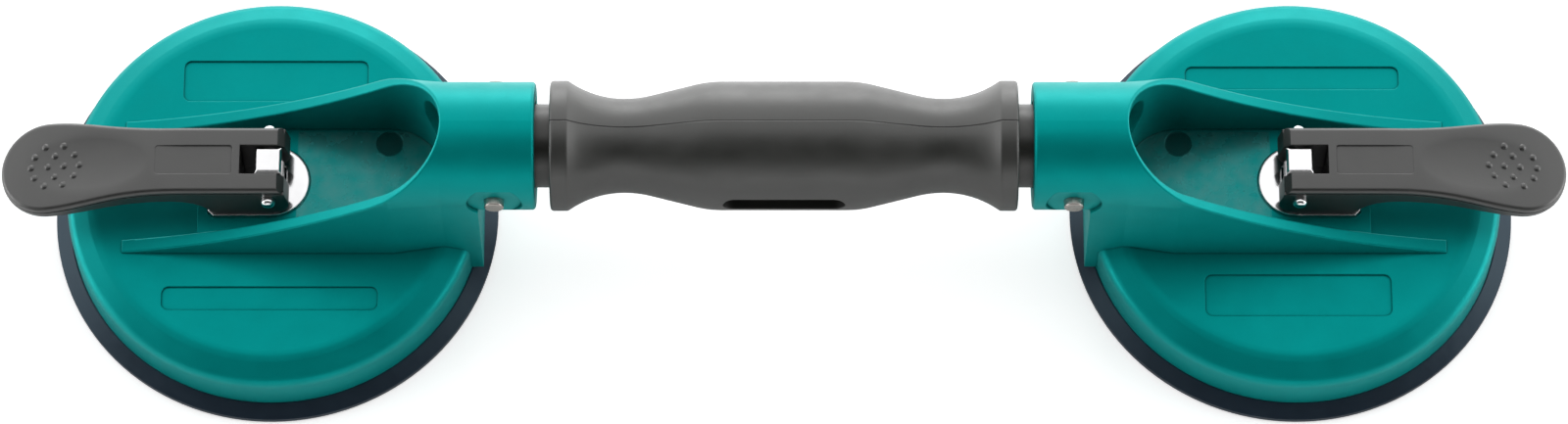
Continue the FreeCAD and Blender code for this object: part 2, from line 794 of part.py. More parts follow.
def cam_curve(s):
    """The cam: its reach from the pin falls evenly with the lever's turn (an involute)."""
    turn_by = math.radians(s.cam_angle.value)
    fall = (s.cam_closed.value - s.cam_open.value) / turn_by
    points = []
    for step in range(CAM_STEPS + 1):
        angle = turn_by * step / CAM_STEPS
        reach = s.cam_closed.value - fall * angle
        outward = FreeCAD.Vector(math.sin(angle), 0, -math.cos(angle))
        along = FreeCAD.Vector(math.cos(angle), 0, math.sin(angle))
        points.append(outward * reach - along * fall)
    curve = Part.BSplineCurve()
    end_face = FreeCAD.Vector(math.cos(turn_by), 0, math.sin(turn_by))
    curve.interpolate(
        Points=points,
        InitialTangent=FreeCAD.Vector(1, 0, 0),
        FinalTangent=end_face,
    )
    return curve, points[0], points[-1], end_face


def lever_side_wire(s):
    """The lever seen from the side, about its pin, with the tip towards -X."""
    curve, foot, face_start, face = cam_curve(s)
    top = s.lever_over_pin.value
    face_top = top - s.lever_bevel_drop.value
    face_end = face_start + face * ((face_top - face_start.z) / face.z)
    vector = FreeCAD.Vector
    top_start = vector(face_end.x - s.lever_bevel_along.value, 0, top)
    top_bend = vector(-s.lever_flat_end.value, 0, top)
    top_centre = top_bend - vector(0, 0, s.lever_top_round.value)
    tip = -s.lever_tip.value
    foot_end = vector(-s.lever_foot_end.value, 0, foot.z)
    under_bend = vector(foot_end.x - s.lever_foot_slope.value, 0, top - s.lever_arm_thick.value)
    under_centre = under_bend - vector(0, 0, s.lever_under_round.value)

    def on_arc(centre, radius, x):
        return vector(x, 0, centre.z + math.sqrt(radius**2 - (x - centre.x) ** 2))

    def bend(centre, radius, x_start, x_stop):
        spots = (x_start, (x_start + x_stop) / 2, x_stop)
        return Part.Arc(*(on_arc(centre, radius, x) for x in spots)).toShape()

    top_tip = on_arc(top_centre, s.lever_top_round.value, tip)
    under_tip = on_arc(under_centre, s.lever_under_round.value, tip)
    rise = under_bend.z - foot.z
    crook = Part.BezierCurve()
    crook.setPoles(
        [
            foot_end,
            foot_end + vector(-s.lever_foot_slope.value / 4, 0, rise * 0.75),
            under_bend + vector(s.lever_foot_slope.value / 2, 0, 0),
            under_bend,
        ]
    )
    edges = [
        Part.LineSegment(foot_end, foot).toShape(),
        curve.toShape(),
        Part.LineSegment(face_start, face_end).toShape(),
        Part.LineSegment(face_end, top_start).toShape(),
        Part.LineSegment(top_start, top_bend).toShape(),
        bend(top_centre, s.lever_top_round.value, top_bend.x, tip),
        Part.LineSegment(top_tip, under_tip).toShape(),
        bend(under_centre, s.lever_under_round.value, tip, under_bend.x),
        crook.toShape(),
    ]
    return Part.Wire(Part.__sortEdges__(edges))


def lever_plan_wire(s, length):
    """The lever seen from above: a straight arm that widens into a round thumb pad."""
    vector = FreeCAD.Vector
    half, pad = s.lever_half.value, s.lever_tip_round.value
    pad_x = -(s.lever_tip.value - pad)
    waist_x = -s.lever_waist.value
    widen = pad_x - waist_x

    def side(sign):
        edge = Part.BezierCurve()
        edge.setPoles(
            [
                vector(waist_x, sign * half, 0),
                vector(waist_x + widen * 0.5, sign * half, 0),
                vector(waist_x + widen * 0.7, sign * pad, 0),
                vector(pad_x, sign * pad, 0),
            ]
        )
        return edge.toShape()

    tip = Part.Arc(
        vector(pad_x, -pad, 0), vector(pad_x - pad, 0, 0), vector(pad_x, pad, 0)
    ).toShape()
    corners = [
        vector(waist_x, half, 0),
        vector(length, half, 0),
        vector(length, -half, 0),
        vector(waist_x, -half, 0),
    ]
    straight = [Part.LineSegment(a, b).toShape() for a, b in zip(corners, corners[1:])]
    return Part.Wire(Part.__sortEdges__([side(1), tip, side(-1), *straight]))


def thumb_dish(s):
    """A round bar laid along the bent top, which leaves a long shallow dish for the thumb."""
    bend = s.lever_top_round.value
    centre = FreeCAD.Vector(-s.lever_flat_end.value, 0, s.lever_over_pin.value - bend)
    run = s.lever_flat_end.value - s.dish_offset.value
    outward = FreeCAD.Vector(run, 0, math.sqrt(bend**2 - run**2)) * (1 / bend)
    along = FreeCAD.Vector(outward.z, 0, -outward.x)
    middle = centre + outward * (bend + s.dish_radius.value - s.dish_depth.value)
    length = s.lever_tip.value
    return Part.makeCylinder(s.dish_radius.value, length, middle - along * (length / 2), along)


def make_lever(doc, s, side):
    """The cam lever: side shape and plan shape in common, forked for the post."""
    vector = FreeCAD.Vector
    width = 4 * s.lever_tip_round.value
    length = s.lever_tip.value
    profile = Part.Face(lever_side_wire(s))
    slab = profile.extrude(vector(0, width, 0))
    slab.translate(vector(0, -width / 2, 0))
    plan = Part.Face(lever_plan_wire(s, length)).extrude(vector(0, 0, 2 * length))
    plan.translate(vector(0, 0, -length))
    shape = slab.common(plan)
    waist = -s.lever_waist.value

    def thumb_edge(edge):
        box = edge.BoundBox
        upright = abs(box.ZLength) > box.XLength + box.YLength
        return box.XMax < waist + 0.01 and not upright

    def dish_edge(edge):
        box = edge.BoundBox
        beside = max(-box.YMin, box.YMax) < s.lever_half.value
        return beside and box.XMin < -s.dish_offset.value < box.XMax

    shape = shape.makeFillet(s.lever_edge_round.value, [e for e in shape.Edges if thumb_edge(e)])
    shape = shape.cut(thumb_dish(s))
    shape = shape.makeFillet(s.dish_soft.value, [e for e in shape.Edges if dish_edge(e)])
    fork = Part.makeBox(
        length, 2 * s.fork_half.value, 2 * length,
        vector(-s.fork_end.value, -s.fork_half.value, -length),
    )
    eye = Part.makeCylinder(
        s.lever_pin_radius.value + s.running.value, width,
        vector(0, -width / 2, 0), vector(0, 1, 0),
    )
    panel = Part.makeBox(
        s.panel_length.value, 2 * s.panel_half.value, s.panel_depth.value,
        vector(
            -s.panel_inner.value - s.panel_length.value,
            -s.panel_half.value,
            s.lever_over_pin.value - s.panel_depth.value,
        ),
    )
    upright = [e for e in panel.Edges if e.BoundBox.ZLength > e.BoundBox.DiagonalLength / 2]
    panel = panel.makeFillet(s.panel_depth.value * 2, upright)
    shape = shape.cut(fork).cut(eye).cut(panel)
    lever = doc.addObject("Part::Feature", f"{side}_cam_lever")
    lever.Label = f"{side}_cam_lever"
    lever.Shape = shape
    return place(lever, side, s, lever_pin_height(s))


def make_tube(doc, s):
    """The tube through the grip. Each end reaches past its swivel pin."""
    body = new_body(doc, "grip_tube")
    half = cup_offset(s) - s.swivel_offset + s.tube_overlap
    section = sketch_on(body, "section", "YZ_Plane")
    circle(section, ZERO, ZERO, s.tube_radius)
    circle(section, ZERO, ZERO, s.tube_radius - s.tube_wall)
    extrude(body, "Pad", section, half * 2, both=True)
    cut_swivel_holes(body, s, (LEFT, RIGHT))
    bind(body, "Placement.Base.z", s.axis_height)
    return body


def cut_swivel_holes(body, s, sides):
    holes = sketch_on(body, "swivel_holes", "XZ_Plane")
    for side in sides:
        circle(holes, swivel_pin_x(s, side), ZERO, s.swivel_radius + s.running)
    extrude(body, "Pocket", holes, s.tube_radius * 4, both=True)


def make_tube_plug(doc, s, side):
    """The plastic plug in a tube's end. The swivel pin turns in it."""
    body = new_body(doc, f"{side}_tube_plug")
    end = cup_offset(s) - s.swivel_offset + s.tube_overlap
    inner = end - s.plug_length
    start = -end if side == LEFT else inner
    section = sketch_on(body, "section", "YZ_Plane", lift=start)
    circle(section, ZERO, ZERO, s.tube_radius - s.tube_wall - s.snug)
    extrude(body, "Pad", section, s.plug_length)
    cut_swivel_holes(body, s, (side,))
    bind(body, "Placement.Base.z", s.axis_height)
    return body


def make_grip(doc, s):
    """The moulded grip: end rims, waisted necks and a full middle, slotted at each side."""
    body = new_body(doc, "hand_grip")
    bore = s.tube_radius + s.snug
    rim_inner = s.grip_half - s.grip_rim_width
    run = s.grip_neck - s.grip_swell - s.grip_sweep * 2
    rise = s.grip_swell_radius - s.grip_neck_radius
    slope = slant(run, rise)
    along = s.grip_sweep * run / slope
    across = s.grip_sweep * rise / slope
    low_x = s.grip_neck - s.grip_sweep - along
    low_r = s.grip_neck_radius + across
    high_x = s.grip_swell + s.grip_sweep + along
    high_r = s.grip_swell_radius - across
    sweep = s.grip_sweep * (slope + run) / rise
    rim_round = sweep_radius(rim_inner - s.grip_neck, s.grip_rim_radius - s.grip_neck_radius)
    half = sketch_on(body, "half_section", "XZ_Plane")
    outline(
        half,
        [
            (s.grip_half, bore),
            (s.grip_half, s.grip_rim_radius),
            (rim_inner, s.grip_rim_radius, rim_round, -1),
            (s.grip_neck, s.grip_neck_radius, sweep, -1),
            (low_x, low_r),
            (high_x, high_r, sweep, 1),
            (s.grip_swell, s.grip_swell_radius),
            (-s.grip_swell, s.grip_swell_radius, sweep, 1),
            (-high_x, high_r),
            (-low_x, low_r, sweep, -1),
            (-s.grip_neck, s.grip_neck_radius, rim_round, -1),
            (-rim_inner, s.grip_rim_radius),
            (-s.grip_half, s.grip_rim_radius),
            (-s.grip_half, bore),
        ],
    )
    turn(body, "Revolution", half, "H_Axis")
    dress(body, "Fillet", "Radius", s.grip_rim_edge, ring_at(s.grip_rim_radius))
    slot = sketch_on(body, "slots", "XZ_Plane")
    end = s.slot_length / 2
    side = s.slot_width / 2
    straight = end - side
    outline(
        slot,
        [
            (-straight, -side),
            (straight, -side, side, 1),
            (end, ZERO, side, 1),
            (straight, side),
            (-straight, side, side, 1),
            (-end, ZERO, side, 1),
        ],
    )
    extrude(body, "Pocket", slot, s.grip_swell_radius * 4, both=True)
    bind(body, "Placement.Base.z", s.axis_height)
    return body


def slant(run, rise):
    """Length of a straight line that covers run and rise together."""
    return Size(math.hypot(run.value, rise.value), f"sqrt{(run * run + rise * rise).text}")


def sweep_radius(run, rise):
    """Radius of an arc that starts level and climbs by rise over run."""
    return (run * run + rise * rise) / (rise * 2)


def check_and_write(doc, pieces):
    """Stops if anything failed, then writes each piece as its own STEP file."""
    doc.recompute()
    for obj in doc.Objects:
        if "Invalid" in obj.State or "Error" in obj.State:
            raise RuntimeError(f"{obj.Label} failed: {obj.State}")
    os.makedirs(OUT_DIR, exist_ok=True)
    for piece in pieces:
        shape = piece.Shape
        if shape.isNull() or not shape.isValid() or not shape.Solids:
            raise RuntimeError(f"{piece.Label} has no valid solid")
    for piece in pieces:
        piece.Shape.exportStep(os.path.join(OUT_DIR, f"{piece.Label}.step"))


def main():
    doc = FreeCAD.newDocument("suction_lifter")
    s = Sheet(doc)
    pieces = [make_tube(doc, s), make_grip(doc, s)]
    for side in (LEFT, RIGHT):
        pieces += [
            make_tube_plug(doc, s, side),
            make_housing(doc, s, side),
            make_pad(doc, s, side),
            make_backing_plate(doc, s, side),
            make_post(doc, s, side),
            make_wear_plate(doc, s, side),
            make_lever(doc, s, side),
            make_lever_pin(doc, s, side),
            make_swivel_pin(doc, s, side),
        ]
    check_and_write(doc, pieces)


main()
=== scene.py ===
import math

import bmesh
import bpy
from mathutils import Matrix, Vector
from mathutils.bvhtree import BVHTree


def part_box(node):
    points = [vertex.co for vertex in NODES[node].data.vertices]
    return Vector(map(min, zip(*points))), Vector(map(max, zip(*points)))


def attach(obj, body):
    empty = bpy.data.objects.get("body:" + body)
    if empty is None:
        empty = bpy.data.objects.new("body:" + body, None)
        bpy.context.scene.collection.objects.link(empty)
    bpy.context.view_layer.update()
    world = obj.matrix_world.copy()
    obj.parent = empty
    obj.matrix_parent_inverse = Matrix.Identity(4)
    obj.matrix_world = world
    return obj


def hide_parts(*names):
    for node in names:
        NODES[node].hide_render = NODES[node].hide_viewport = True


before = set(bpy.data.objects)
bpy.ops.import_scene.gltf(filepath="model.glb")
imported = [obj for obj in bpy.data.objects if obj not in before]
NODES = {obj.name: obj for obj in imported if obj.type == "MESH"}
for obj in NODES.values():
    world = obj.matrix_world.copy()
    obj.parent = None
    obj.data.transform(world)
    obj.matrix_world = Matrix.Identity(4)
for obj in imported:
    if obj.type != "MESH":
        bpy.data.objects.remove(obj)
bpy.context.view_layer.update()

# Every length here is in metres.
SIDES = ("left", "right")


# ---------------------------------------------------------------- shader nodes

class Nodes:
    """A short way to add shader nodes to a material or a world."""

    def __init__(self, owner):
        owner.use_nodes = True
        self.tree = owner.node_tree
        self.tree.nodes.clear()

    def add(self, kind, **settings):
        node = self.tree.nodes.new(kind)
        for key, value in settings.items():
            setattr(node, key, value)
        return node

    def feed(self, socket, value):
        """Link the value to the socket, or write it there when it is a plain number or colour."""
        if isinstance(value, bpy.types.NodeSocket):
            self.tree.links.new(value, socket)
        else:
            socket.default_value = value

    def fill(self, node, **inputs):
        """Feed the node's inputs by name, with _ for each space."""
        for key, value in inputs.items():
            self.feed(node.inputs[key.replace("_", " ")], value)

    def math(self, operation, *terms):
        node = self.add("ShaderNodeMath", operation=operation)
        for socket, term in zip(node.inputs, terms):
            self.feed(socket, term)
        return node.outputs[0]

    def plus(self, first, second):
        return self.math("ADD", first, second)

    def minus(self, first, second):
        return self.math("SUBTRACT", first, second)

    def times(self, first, second):
        return self.math("MULTIPLY", first, second)

    def larger(self, first, second):
        return self.math("MAXIMUM", first, second)

    def size(self, value):
        return self.math("ABSOLUTE", value)

    def axes(self, vector):
        node = self.add("ShaderNodeSeparateXYZ")
        self.feed(node.inputs[0], vector)
        return node.outputs

    def mapped(self, value, low, high, to_low, to_high):
        node = self.add("ShaderNodeMapRange")
        self.fill(node, Value=value, From_Min=low, From_Max=high, To_Min=to_low, To_Max=to_high)
        return node.outputs["Result"]

    def near(self, value, spot, half, soft):
        """1 where the value is within half of the spot, falling to 0 over soft."""
        return self.mapped(self.size(self.minus(value, spot)), half, half + soft, 1.0, 0.0)

    def ramp(self, source, stops):
        node = self.add("ShaderNodeValToRGB")
        elements = node.color_ramp.elements
        while len(elements) < len(stops):
            elements.new(0.5)
        for element, (spot, color) in zip(elements, stops):
            element.position = spot
            element.color = (*color, 1.0)
        self.fill(node, Fac=source)
        return node.outputs["Color"]


class Finish(Nodes):
    """The nodes of one material, with its principled shader. The position is in the object's own metres."""

    def __init__(self, name):
        self.material = bpy.data.materials.new(name)
        super().__init__(self.material)
        self.shader = self.add("ShaderNodeBsdfPrincipled")
        self.fill(self.add("ShaderNodeOutputMaterial"), Surface=self.shader.outputs["BSDF"])
        self.position = self.add("ShaderNodeTexCoord").outputs["Object"]

    def noise(self, scale, detail, roughness=0.5, vector=None):
        node = self.add("ShaderNodeTexNoise")
        place = self.position if vector is None else vector
        self.fill(node, Scale=scale, Detail=detail, Roughness=roughness, Vector=place)
        return node.outputs["Fac"]

    def spread(self, noise, low, high):
        """The noise, most of which lies between 0.3 and 0.7, spread from low to high."""
        return self.mapped(noise, 0.3, 0.7, low, high)

    def mixed(self, color, mask, other, blend="MIX"):
        """The color, giving way to the other where the mask is 1."""
        node = self.add("ShaderNodeMix", data_type="RGBA", blend_type=blend)
        self.fill(node, Factor=mask, A=color, B=(*other, 1.0))
        return node.outputs["Result"]

    def shaded(self, color, mask, share):
        """The color, of which only the share stays where the mask is 1."""
        return self.mixed(color, mask, (share, share, share), "MULTIPLY")

    def soft_edges(self, radius):
        node = self.add("ShaderNodeBevel", samples=6)
        self.fill(node, Radius=radius)
        return node.outputs["Normal"]

    def crease_shade_mask(self, reach):
        """Mask of painted shade: 1 in corners of which under 0.4 is open within reach, 0 on faces of which
        over 0.9 is.
        """
        node = self.add("ShaderNodeAmbientOcclusion", samples=8, only_local=True)
        self.fill(node, Distance=reach)
        return self.mapped(node.outputs["AO"], 0.40, 0.90, 1.0, 0.0)

    def bump(self, height, strength, depth, under=None):
        node = self.add("ShaderNodeBump")
        self.fill(node, Height=height, Strength=strength, Distance=depth)
        if under is not None:
            self.fill(node, Normal=under)
        return node.outputs["Normal"]


# ---------------------------------------------------------------- materials

WHITE = (1.0, 1.0, 1.0)

# Where the three tones of a plastic lie on its noise, and what part of that noise is slow drift.
TONE_SPOTS, DRIFT_SHARE = (0.25, 0.5, 0.78), 0.8

# How far the roughness goes under and over its middle value.
LESS_ROUGH, MORE_ROUGH = 0.04, 0.05

# A shade is the share of the colour that stays. Rough adds to the roughness, smooth takes from it.
# Creases and corners get painted shade: their colour is darkened to a share of itself, and they get rougher.
CREASE_REACH, PAINTED_CREASE_SHADE, CREASE_ROUGH = 0.0009, 0.15, 0.45
SEAM_DEPTH, SEAM_SHADE, SEAM_ROUGH = 0.00030, 0.2, 0.4
MARK_SHADE, MARK_SMOOTH = 0.42, 0.20
# The deck's painted highlight: a pale colour mixed in hazy patches, from its least to its most share.
PAINTED_HIGHLIGHT_COLOR, HIGHLIGHT_LEAST, HIGHLIGHT_MOST = (0.20, 0.29, 0.28), 0.04, 0.36
DECK_SMOOTH = 0.13

# The lightest and darkest tone of a metal against its colour, its least and most roughness
# against its middle one, and how its scratches run.
PALE, DARK = 1.06, 0.86
SMOOTHEST, ROUGHEST = 0.7, 1.4
SCRATCH_STRETCH, SCRATCH_DEPTH = 12.0, 0.00004


def plastic(name, tones, rough, level, edge, tint=WHITE, metallic=0.0, seam=None, polish=None):
    """Moulded plastic: slow drift through its tones, fine grain, uneven gloss, soft edges, painted shade in
    creases.
    level and tint are the gloss's strength and colour, metallic is its share in the plastic's own colour.
    seam() gives the mask of a mould line, polish() those of the ejector marks and of the deck, which gets a
    painted hazy highlight."""
    n = Finish(name)
    drift = n.noise(scale=38.0, detail=4.0, roughness=0.55)
    speck = n.noise(scale=900.0, detail=2.0, roughness=0.7)
    cloud = n.plus(n.times(drift, DRIFT_SHARE), n.times(speck, 1.0 - DRIFT_SHARE))
    color = n.ramp(cloud, list(zip(TONE_SPOTS, tones)))
    haze = n.noise(scale=160.0, detail=3.0, roughness=0.6)
    gloss = n.spread(haze, rough - LESS_ROUGH, rough + MORE_ROUGH)
    under = n.soft_edges(edge)
    # Painted shade: the colour is darkened in creases and corners, which also get rougher.
    painted_crease_shade = n.crease_shade_mask(CREASE_REACH)
    color = n.shaded(color, painted_crease_shade, PAINTED_CREASE_SHADE)
    gloss = n.plus(gloss, n.times(painted_crease_shade, CREASE_ROUGH))
    if seam is not None:
        line = seam(n)
        color = n.shaded(color, line, SEAM_SHADE)
        gloss = n.plus(gloss, n.times(line, SEAM_ROUGH))
        under = n.bump(n.minus(1.0, line), 1.0, SEAM_DEPTH, under)
    if polish is not None:
        marks, deck = polish(n)
        # Painted highlight: a pale colour mixed into the deck in hazy patches.
        painted_highlight = n.spread(n.noise(scale=210.0, detail=4.0, roughness=0.7), HIGHLIGHT_LEAST, HIGHLIGHT_MOST)
        color = n.mixed(color, n.times(deck, painted_highlight), PAINTED_HIGHLIGHT_COLOR)
        color = n.shaded(color, marks, MARK_SHADE)
        gloss = n.minus(gloss, n.larger(n.times(marks, MARK_SMOOTH), n.times(deck, DECK_SMOOTH)))
    waves = n.noise(scale=200.0, detail=2.0)
    grain = n.noise(scale=2400.0, detail=2.0, roughness=0.6)
    under = n.bump(waves, strength=0.10, depth=0.0003, under=under)
    under = n.bump(grain, strength=0.22, depth=0.00006, under=under)
    n.fill(n.shader, Base_Color=color, Roughness=gloss, Normal=under)
    n.fill(n.shader, IOR=1.5, Metallic=metallic, Specular_IOR_Level=level, Specular_Tint=(*tint, 1.0))
    return n.material


# The mould line on the grip's top and bottom, which fades between the neck and the swell.
SEAM_HALF, SEAM_SOFT = 0.00010, 0.00014
SEAM_FAINT_TO, SEAM_CLEAR_FROM, SEAM_FAINT = 0.022, 0.036, 0.2

# Places on a head, from the cup's axis towards the grip, and the band of heights that counts as its deck.
PIN = {side: (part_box(f"{side}_lever_pin")[0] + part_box(f"{side}_lever_pin")[1]) / 2 for side in SIDES}
CUP = abs(PIN["left"].x)
DECK_HIGH, DECK_BAND, DECK_BAND_SOFT = 0.0235, 0.0004, 0.0001
DECK_MIDDLE, DECK_HALF_LONG, DECK_HALF_WIDE, DECK_SOFT = 0.027, 0.020, 0.0145, 0.0004
MARK_ALONG, MARK_ACROSS, MARK_RADIUS, MARK_SOFT = 0.0315, 0.0112, 0.0034, 0.0003


def grip_seam(n):
    """The mould line along the grip's top and bottom, clearer at its necks and rims."""
    axes = n.axes(n.position)
    clear = n.mapped(n.size(axes["X"]), SEAM_FAINT_TO, SEAM_CLEAR_FROM, SEAM_FAINT, 1.0)
    return n.times(n.near(axes["Y"], 0.0, SEAM_HALF, SEAM_SOFT), clear)


def deck_polish(n):
    """The ejector marks, and the deck that they lie on, which gets a painted hazy highlight."""
    x, y, z = (n.axes(n.position)[name] for name in "XYZ")
    x = n.size(x)
    deck = n.near(z, DECK_HIGH, DECK_BAND, DECK_BAND_SOFT)
    deck = n.times(deck, n.near(y, 0.0, DECK_HALF_WIDE, DECK_SOFT))
    deck = n.times(deck, n.near(x, CUP - DECK_MIDDLE, DECK_HALF_LONG, DECK_SOFT))
    along = n.minus(x, CUP - MARK_ALONG)
    across = n.minus(n.size(y), MARK_ACROSS)
    away = n.math("SQRT", n.plus(n.times(along, along), n.times(across, across)))
    return n.times(n.near(away, 0.0, MARK_RADIUS, MARK_SOFT), deck), deck


def rubber(name):
    """Black rubber with a blue cast and a fine, dusty skin."""
    n = Finish(name)
    tones = (0.3, (0.009, 0.015, 0.025)), (0.55, (0.013, 0.021, 0.034)), (0.8, (0.023, 0.033, 0.048))
    dust = n.noise(scale=420.0, detail=4.0, roughness=0.7)
    n.fill(
        n.shader,
        Base_Color=n.ramp(n.noise(scale=30.0, detail=5.0, roughness=0.6), tones),
        Roughness=n.spread(dust, 0.30, 0.42),
        Normal=n.bump(dust, strength=0.2, depth=0.00012),
    )
    n.fill(n.shader, IOR=1.52, Specular_IOR_Level=0.6, Specular_Tint=(0.60, 0.84, 1.0, 1.0))
    return n.material


def metal(name, color, rough, scratch, edge=0.0002):
    """Plated or turned steel, with faint scratches along one way."""
    n = Finish(name)
    stretch = n.add("ShaderNodeMapping")
    n.fill(stretch, Vector=n.position, Scale=(1.0, SCRATCH_STRETCH, 1.0))
    lines = n.noise(scale=900.0, detail=3.0, vector=stretch.outputs["Vector"])
    pale = tuple(min(1.0, part * PALE) for part in color)
    dark = tuple(part * DARK for part in color)
    n.fill(
        n.shader,
        Base_Color=n.ramp(n.noise(scale=70.0, detail=3.0), [(0.3, dark), (0.6, color), (0.8, pale)]),
        Roughness=n.spread(lines, rough * SMOOTHEST, rough * ROUGHEST),
        Normal=n.bump(lines, scratch, SCRATCH_DEPTH, n.soft_edges(edge)),
        Metallic=1.0,
    )
    return n.material


TEAL = plastic(
    "teal_plastic", ((0.0, 0.230, 0.220), (0.0, 0.252, 0.242), (0.001, 0.278, 0.266)),
    rough=0.40, level=0.8, edge=0.0004, tint=(0.02, 1.0, 0.98), metallic=0.4, polish=deck_polish)
GRIP = plastic(
    "grip_plastic", ((0.0185, 0.0195, 0.0170), (0.0215, 0.0225, 0.0200), (0.026, 0.0270, 0.0245)),
    rough=0.40, level=0.95, edge=0.0004, seam=grip_seam)
LEVER = plastic(
    "lever_plastic", ((0.014, 0.0145, 0.0135), (0.017, 0.0175, 0.0165), (0.021, 0.0215, 0.0205)),
    rough=0.38, level=1.0, edge=0.0003)
BLACK = plastic(
    "plug_plastic", ((0.010, 0.010, 0.011), (0.014, 0.014, 0.015), (0.020, 0.020, 0.021)),
    rough=0.5, level=0.5, edge=0.0003)
TUBE = plastic(
    "tube_coating", ((0.024, 0.023, 0.020), (0.030, 0.029, 0.025), (0.038, 0.037, 0.032)),
    rough=0.36, level=0.7, edge=0.0002)
RUBBER = rubber("pad_rubber")
CHROME = metal("plated_steel", (0.93, 0.93, 0.94), rough=0.09, scratch=0.08, edge=0.0006)
STEEL = metal("pin_steel", (0.46, 0.43, 0.40), rough=0.34, scratch=0.3, edge=0.0003)
ZINC = metal("zinc_steel", (0.60, 0.61, 0.62), rough=0.38, scratch=0.2)

LOOK = {
    "housing": TEAL, "suction_pad": RUBBER, "wear_plate": CHROME, "swivel_pin": STEEL,
    "pull_post": CHROME, "backing_plate": ZINC, "lever_pin": CHROME, "cam_lever": LEVER,
    "tube_plug": BLACK, "grip_tube": TUBE, "hand_grip": GRIP,
}

for name, obj in NODES.items():
    kind = name if name in LOOK else name.split("_", 1)[1]
    obj.data.materials.clear()
    obj.data.materials.append(LOOK[kind])


# ---------------------------------------------------------------- the levers

# All from the lever's pin, with the tip towards -X.
TOP_FLAT, TOP_ROUND = 0.020, 0.159
PAD_MIDDLE, PAD_RADIUS = 0.0592, 0.0128

# The parting line: how far under the top it lies, its height, how far it goes in, out and past the fork.
LINE_DEPTH, LINE_HIGH, LINE_IN, LINE_OUT, LINE_PAST = 0.00175, 0.0005, 0.0010, 0.001, 0.006

# Where the line is looked up: in steps along the arm and by turns round the tip, from outside.
ARM_START, ARM_STEP, ARM_STEPS, ARM_SIDE = 0.002, 0.0015, 41, 0.03
TIP_TURN, TIP_SIDE = 5, 0.04

# The bumps, as places along and across the thumb pad.
DOTS = ((0.0600, 0.0056), (0.0550, 0.0056), (0.0628, 0.0030), (0.0573, 0.0030), (0.0521, 0.0030),
        (0.0638, 0.0), (0.0592, 0.0), (0.0549, 0.0), (0.0507, 0.0))
DOT_RADIUS, DOT_HIGH, DOT_SUNK = 0.00095, 0.00055, 0.00012
DOT_RINGS, DOT_TILT, DOT_SIDES, DOT_ABOVE = 6, 17, 16, 0.02

SAME_POINT = 1e-6
SHARP_FROM = math.radians(28)


def new_object(name, bm, material):
    mesh = bpy.data.meshes.new(name)
    bm.to_mesh(mesh)
    bm.free()
    mesh.materials.append(material)
    obj = bpy.data.objects.new(name, mesh)
    bpy.context.scene.collection.objects.link(obj)
    return obj


def join_rings(bm, rings):
    """Faces between each ring of vertices and the next."""
    count = len(rings[0])
    for first, second in zip(rings, rings[1:]):
        for k in range(count):
            after = (k + 1) % count
            bm.faces.new((first[k], first[after], second[after], second[k]))


def lever_frame(side):
    """From the lever's own frame to the model's."""
    turn = 0.0 if side == "left" else math.pi
    return Matrix.Translation(PIN[side]) @ Matrix.Rotation(turn, 4, "Z")


def top_height(high, along):
    """Height of the arm's top over its pin: flat, then bent down towards the tip."""
    past = max(0.0, along - TOP_FLAT)
    return high - (TOP_ROUND - math.sqrt(TOP_ROUND ** 2 - past ** 2))


def lever_path(tree, place, high):
    """Points all round the lever's side, LINE_DEPTH under its top, with their outward ways."""
    arm = [ARM_START - step * ARM_STEP for step in range(ARM_STEPS)]
    starts = [(x, -ARM_SIDE, (0, 1), -x) for x in arm]
    for turn in range(TIP_TURN, 180, TIP_TURN):
        angle = math.radians(-90 - turn)
        x, y = math.cos(angle), math.sin(angle)
        starts.append((-PAD_MIDDLE + x * TIP_SIDE, y * TIP_SIDE, (-x, -y), PAD_MIDDLE + PAD_RADIUS * abs(x)))
    starts += [(x, ARM_SIDE, (0, -1), -x) for x in reversed(arm)]
    inward = place.to_3x3()
    back = place.inverted()
    points = []
    for x, y, way, along in starts:
        z = top_height(high, along) - LINE_DEPTH
        hit, normal, _, _ = tree.ray_cast(place @ Vector((x, y, z)), inward @ Vector((*way, 0.0)))
        if hit is not None:
            out = back.to_3x3() @ normal
            points.append((back @ hit, Vector((out.x, out.y, 0)).normalized()))
    return points


def lever_cutter(points):
    """A thin square bar laid along the points, half in the side."""
    bm = bmesh.new()
    past = Vector((LINE_PAST, 0, 0))
    (start, start_out), (end, end_out) = points[0], points[-1]
    rings = []
    for point, out in [(start + past, start_out), *points, (end + past, end_out)]:
        corners = []
        for reach, rise in ((-LINE_IN, -1), (LINE_OUT, -1), (LINE_OUT, 1), (-LINE_IN, 1)):
            corners.append(bm.verts.new(point + out * reach + Vector((0, 0, rise * LINE_HIGH / 2))))
        rings.append(corners)
    join_rings(bm, rings)
    bm.faces.new(rings[0])
    bm.faces.new(reversed(rings[-1]))
    bmesh.ops.recalc_face_normals(bm, faces=bm.faces)
    return bm


def dot_places(tree, place):
    """Each bump's point on the thumb pad, with the way out of the surface."""
    places = []
    for along, across in DOTS:
        for y in sorted({across, -across}):
            above = place @ Vector((-along, y, DOT_ABOVE))
            hit, normal, _, _ = tree.ray_cast(above, Vector((0, 0, -1)))
            places.append((hit, normal))
    return places


def add_dot(bm, spot, out):
    """A low round bump on the thumb pad."""
    side = out.orthogonal().normalized()
    other = out.cross(side)
    rings = []
    for step in range(DOT_RINGS):
        tilt = math.radians(step * DOT_TILT)
        radius = DOT_RADIUS * math.cos(tilt)
        rise = DOT_HIGH * math.sin(tilt) - DOT_SUNK
        ring = []
        for k in range(DOT_SIDES):
            angle = math.tau * k / DOT_SIDES
            way = side * math.cos(angle) + other * math.sin(angle)
            ring.append(bm.verts.new(spot + way * radius + out * rise))
        rings.append(ring)
    join_rings(bm, rings)
    bm.faces.new(rings[-1])


